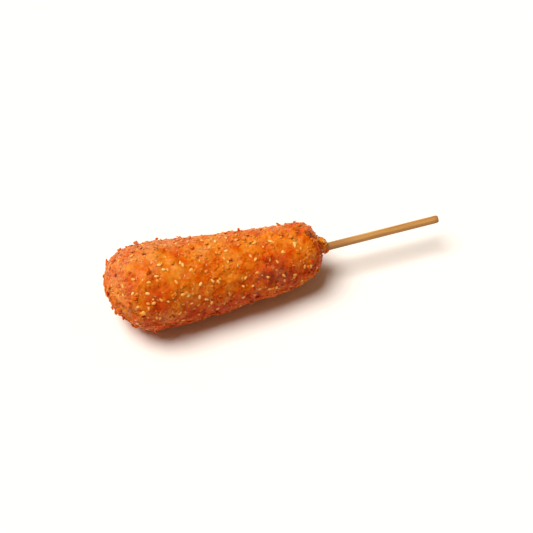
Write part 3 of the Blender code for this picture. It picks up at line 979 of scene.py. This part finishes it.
def make_shards(surface):
    """Pale slivers of crumb, thickest where the crust has dusting and painted sheen."""
    draw = random.Random(SHARD_SEED)
    points, faces = sphere_arrays(2)
    shapes = [shard(draw, points) for _ in range(SHARD_SHAPES)]
    matrices = []
    for d, angle in spread_places(SHARD_PLACES, draw):
        angle += draw.uniform(-SHARD_STRAY, SHARD_STRAY)
        matrix = lying_on(surface, d, angle, draw.uniform(0, math.tau), -SHARD_STAND)
        matrices.append(matrix @ Matrix.Rotation(draw.gauss(0, SHARD_TILT), 4, "Y"))
    dusts = dust_at(np.array([matrix.translation for matrix in matrices]))
    pile = Pile()
    for matrix, dust in zip(matrices, dusts):
        length = (SHORTEST_SHARD + SHARD_RANGE * draw.random() ** FEW_LONG) * MM
        shape = shapes[draw.randrange(len(shapes))]
        kept = draw.random() < SHARDS_WITHOUT_DUST + (1 - SHARDS_WITHOUT_DUST) * dust
        if kept and matrix.translation.z > length and not by_bubble(matrix):
            placed = moved(shape, matrix, (length, length, length))
            pile.add(placed, faces, tone=draw.betavariate(*SHARD_TONES))
    return pile.build("pale_crumbs")


def make_seeds(surface):
    """Sesame seeds: the solid's own, those that stand out, and small ones between them."""
    points, faces = seed_template()
    tip = SEED_TIP_TONE * (points[:, 0] + 0.5) ** 4
    pile = Pile()
    draw = random.Random(SEED_SEED)
    for kind, place, spin, sink, size in solid_toppings():
        if kind != "seed":
            continue
        matrix = lying_on(surface, *place, spin, sink * SEED_SINK)
        size = [s * t for s, t in zip(size, SEED_PLUMP)]
        if matrix.translation.z > FLOOR_CLEARANCE + size[2]:
            tone = PALEST_SEED + draw.betavariate(*SEED_TONES) + tip
            pile.add(moved(points, matrix, size), faces, tone=tone)
    for d, angle in SEED_PLACES:
        size = [s * t * draw.uniform(*PLACED_SEED_SHARE) for s, t in zip(SEED_SIZE, SEED_PLUMP)]
        spin = draw.uniform(0, math.tau)
        matrix = lying_on(surface, d * MM, math.radians(angle), spin, size[2] * PLACED_SEED_SINK)
        pile.add(moved(points, matrix, size), faces, tone=draw.uniform(*PLACED_SEED_TONE) + tip)
    for d, angle in spread_places(SMALL_SEED_COUNT, draw):
        size = [s * draw.uniform(*SMALL_SEED_SHARE) for s in SEED_SIZE]
        spin = draw.uniform(0, math.tau)
        matrix = lying_on(surface, d, angle + SMALL_SEED_TURN, spin, size[2] * SMALL_SEED_SINK)
        matrix = matrix @ Matrix.Rotation(draw.gauss(0, SMALL_SEED_TILT), 4, "Y")
        if matrix.translation.z > FLOOR_CLEARANCE + size[2] and not by_bubble(matrix):
            tone = PALEST_SMALL_SEED + draw.betavariate(*SMALL_SEED_TONES) + tip
            pile.add(moved(points, matrix, size), faces, tone=tone)
    return pile.build("sesame_seeds")


def make_flakes(surface):
    """Dried herb and a few yellow flakes: the solid's own, and those that stand out."""
    pile = Pile()
    draw = random.Random(FLAKE_SEED)
    for kind, place, spin, sink, size in solid_toppings():
        if kind != "flake":
            continue
        matrix = lying_on(surface, *place, spin, -FLAKE_LIFT)
        if matrix.translation.z > FLOOR_CLEARANCE + size[2]:
            points, faces = flake_shape(size, draw)
            pile.add(moved(points, matrix), faces, tone=draw.uniform(*FLAKE_TONE))
    for places, tones, shares, wide, stand in PLACED_FLAKES:
        for d, angle in places:
            size = [s * t * draw.uniform(*shares) for s, t in zip(FLAKE_SIZE, (1, wide, 1))]
            spin = draw.uniform(0, math.tau)
            matrix = lying_on(surface, d * MM, math.radians(angle), spin, -stand * MM)
            points, faces = flake_shape(size, draw)
            pile.add(moved(points, matrix), faces, tone=draw.uniform(*tones))
    return pile.build("herb_flakes")


def make_stick():
    """The bamboo stick: a round bar with shallow fibres and slightly worn ends."""
    bm = bmesh.new()
    length = stick_high.x - stick_low.x
    bmesh.ops.create_cone(
        bm, cap_ends=True, segments=STICK_SIDES, radius1=STICK_RADIUS, radius2=STICK_RADIUS, depth=length)
    edges = [e for e in bm.edges if abs(e.verts[0].co.z - e.verts[1].co.z) > length / 2]
    bmesh.ops.subdivide_edges(bm, edges=edges, cuts=STICK_RINGS, use_grid_fill=True)
    for v in bm.verts:
        x, y, z = v.co.z, v.co.x, v.co.y
        if math.hypot(y, z) > 0.5 * STICK_RADIUS:
            groove = noise.noise(Vector((x / FIBRE_LENGTH, y / FIBRE_WIDTH, z / FIBRE_WIDTH)))
            sway = noise.noise(Vector((x / SWAY_LENGTH, 3.3, 0)))
            shrink = 1 - STICK_SHRINK - FIBRE_DEPTH * groove - SWAY_DEPTH * sway
            end = max(0, 1 - (length / 2 - abs(x)) / WORN_LENGTH)
            shrink *= 1 - WORN_DEPTH * end ** 2
            y, z = y * shrink, z * shrink
        v.co = Vector((x, y, z))
    middle_x = (stick_high.x + stick_low.x) / 2
    bm.transform(Matrix.Translation((middle_x, STICK_AXIS.y, STICK_AXIS.z)))
    mesh = bpy.data.meshes.new("bamboo_stick")
    bmesh.ops.recalc_face_normals(bm, faces=bm.faces)
    bm.to_mesh(mesh)
    bm.free()
    mesh.shade_smooth()
    mesh.set_sharp_from_angle(angle=SHARP_EDGE)
    obj = bpy.data.objects.new("bamboo_stick", mesh)
    bpy.context.scene.collection.objects.link(obj)
    return obj


def make_floor():
    bm = bmesh.new()
    bmesh.ops.create_grid(bm, x_segments=1, y_segments=1, size=FLOOR_REACH)
    mesh = bpy.data.meshes.new("floor")
    bm.to_mesh(mesh)
    bm.free()
    floor = bpy.data.objects.new("floor", mesh)
    floor.location.z = -FLOOR_DROP
    bpy.context.scene.collection.objects.link(floor)
    made, _, shader = principled("floor_white")
    shader.inputs["Base Color"].default_value = FLOOR_COLOUR
    shader.inputs["Roughness"].default_value = FLOOR_ROUGHNESS
    shader.inputs["Specular IOR Level"].default_value = FLOOR_SHINE
    mesh.materials.append(made)


def make_lights():
    world = bpy.data.worlds.new("surround")
    world.use_nodes = True
    background = world.node_tree.nodes["Background"]
    background.inputs["Color"].default_value = SURROUND_COLOUR
    background.inputs["Strength"].default_value = SURROUND_STRENGTH
    bpy.context.scene.world = world

    key = bpy.data.lights.new("key", "SUN")
    key.angle = SUN_WIDTH
    key.energy = SUN_ENERGY
    key.color = SUN_COLOUR
    lamp = bpy.data.objects.new("key", key)
    away = SUN_FROM.normalized()
    lamp.location = SUN_AIM + away * SUN_DISTANCE
    lamp.rotation_mode = "QUATERNION"
    lamp.rotation_quaternion = away.to_track_quat("Z", "Y")
    bpy.context.scene.collection.objects.link(lamp)


def make_camera():
    lens = bpy.data.cameras.new("camera")
    lens.lens = CAMERA_LENS
    lens.sensor_width = CAMERA_SENSOR
    lens.clip_start = CAMERA_CLIP
    camera = bpy.data.objects.new("camera", lens)
    bpy.context.scene.collection.objects.link(camera)
    back = CAMERA_RIGHT.cross(CAMERA_UP)
    turn = Matrix((CAMERA_RIGHT, CAMERA_UP, back)).transposed().to_4x4()
    place = Vector((NECK_X, STICK_AXIS.y, 0)) + CAMERA_FROM_NECK
    camera.matrix_world = Matrix.Translation(place) @ turn
    bpy.context.scene.camera = camera
    bpy.context.scene.view_settings.view_transform = "Standard"


def make_crumbs(surface, name, count, shortest, longest, fineness, seed):
    """Loose crumbs, and with the larger ones those of the solid and of the ends."""
    draw = random.Random(seed)
    points, faces = sphere_arrays(fineness)
    shapes = [rough_lump(draw, points) for _ in range(CRUMB_SHAPES)]
    entries = list(loose_crumbs(surface, count, shortest, longest, draw))
    if name == "crumbs":
        entries += solid_crumbs(surface, draw)
        entries += end_crumbs(surface, draw)
    return crumb_pile(name, entries, shapes, faces, draw)


# The crumbs' bend comes from noise that is drawn anew in each run unless it has a seed.
noise.seed_set(DRAW_SEED)
skin = make_skin()
surface = BVHTree.FromObject(skin, bpy.context.evaluated_depsgraph_get())
finish_piece(skin, crust_material("fried_crust", CRUST_SCATTER), "crust", "crust")
crumb_look = crust_material("fried_crumbs", CRUMB_SCATTER)
for settings in CRUMB_PIECES:
    finish_piece(make_crumbs(surface, *settings), crumb_look, "crust")
finish_piece(make_bubble(surface), burnt_material(), "crust")
finish_piece(make_shards(surface), shard_material(), "crust")
finish_piece(make_seeds(surface), seed_material(), "crust")
finish_piece(make_flakes(surface), herb_material(), "crust")
finish_piece(make_stick(), bamboo_material(), "stick", "stick")
make_floor()
make_lights()
make_camera()
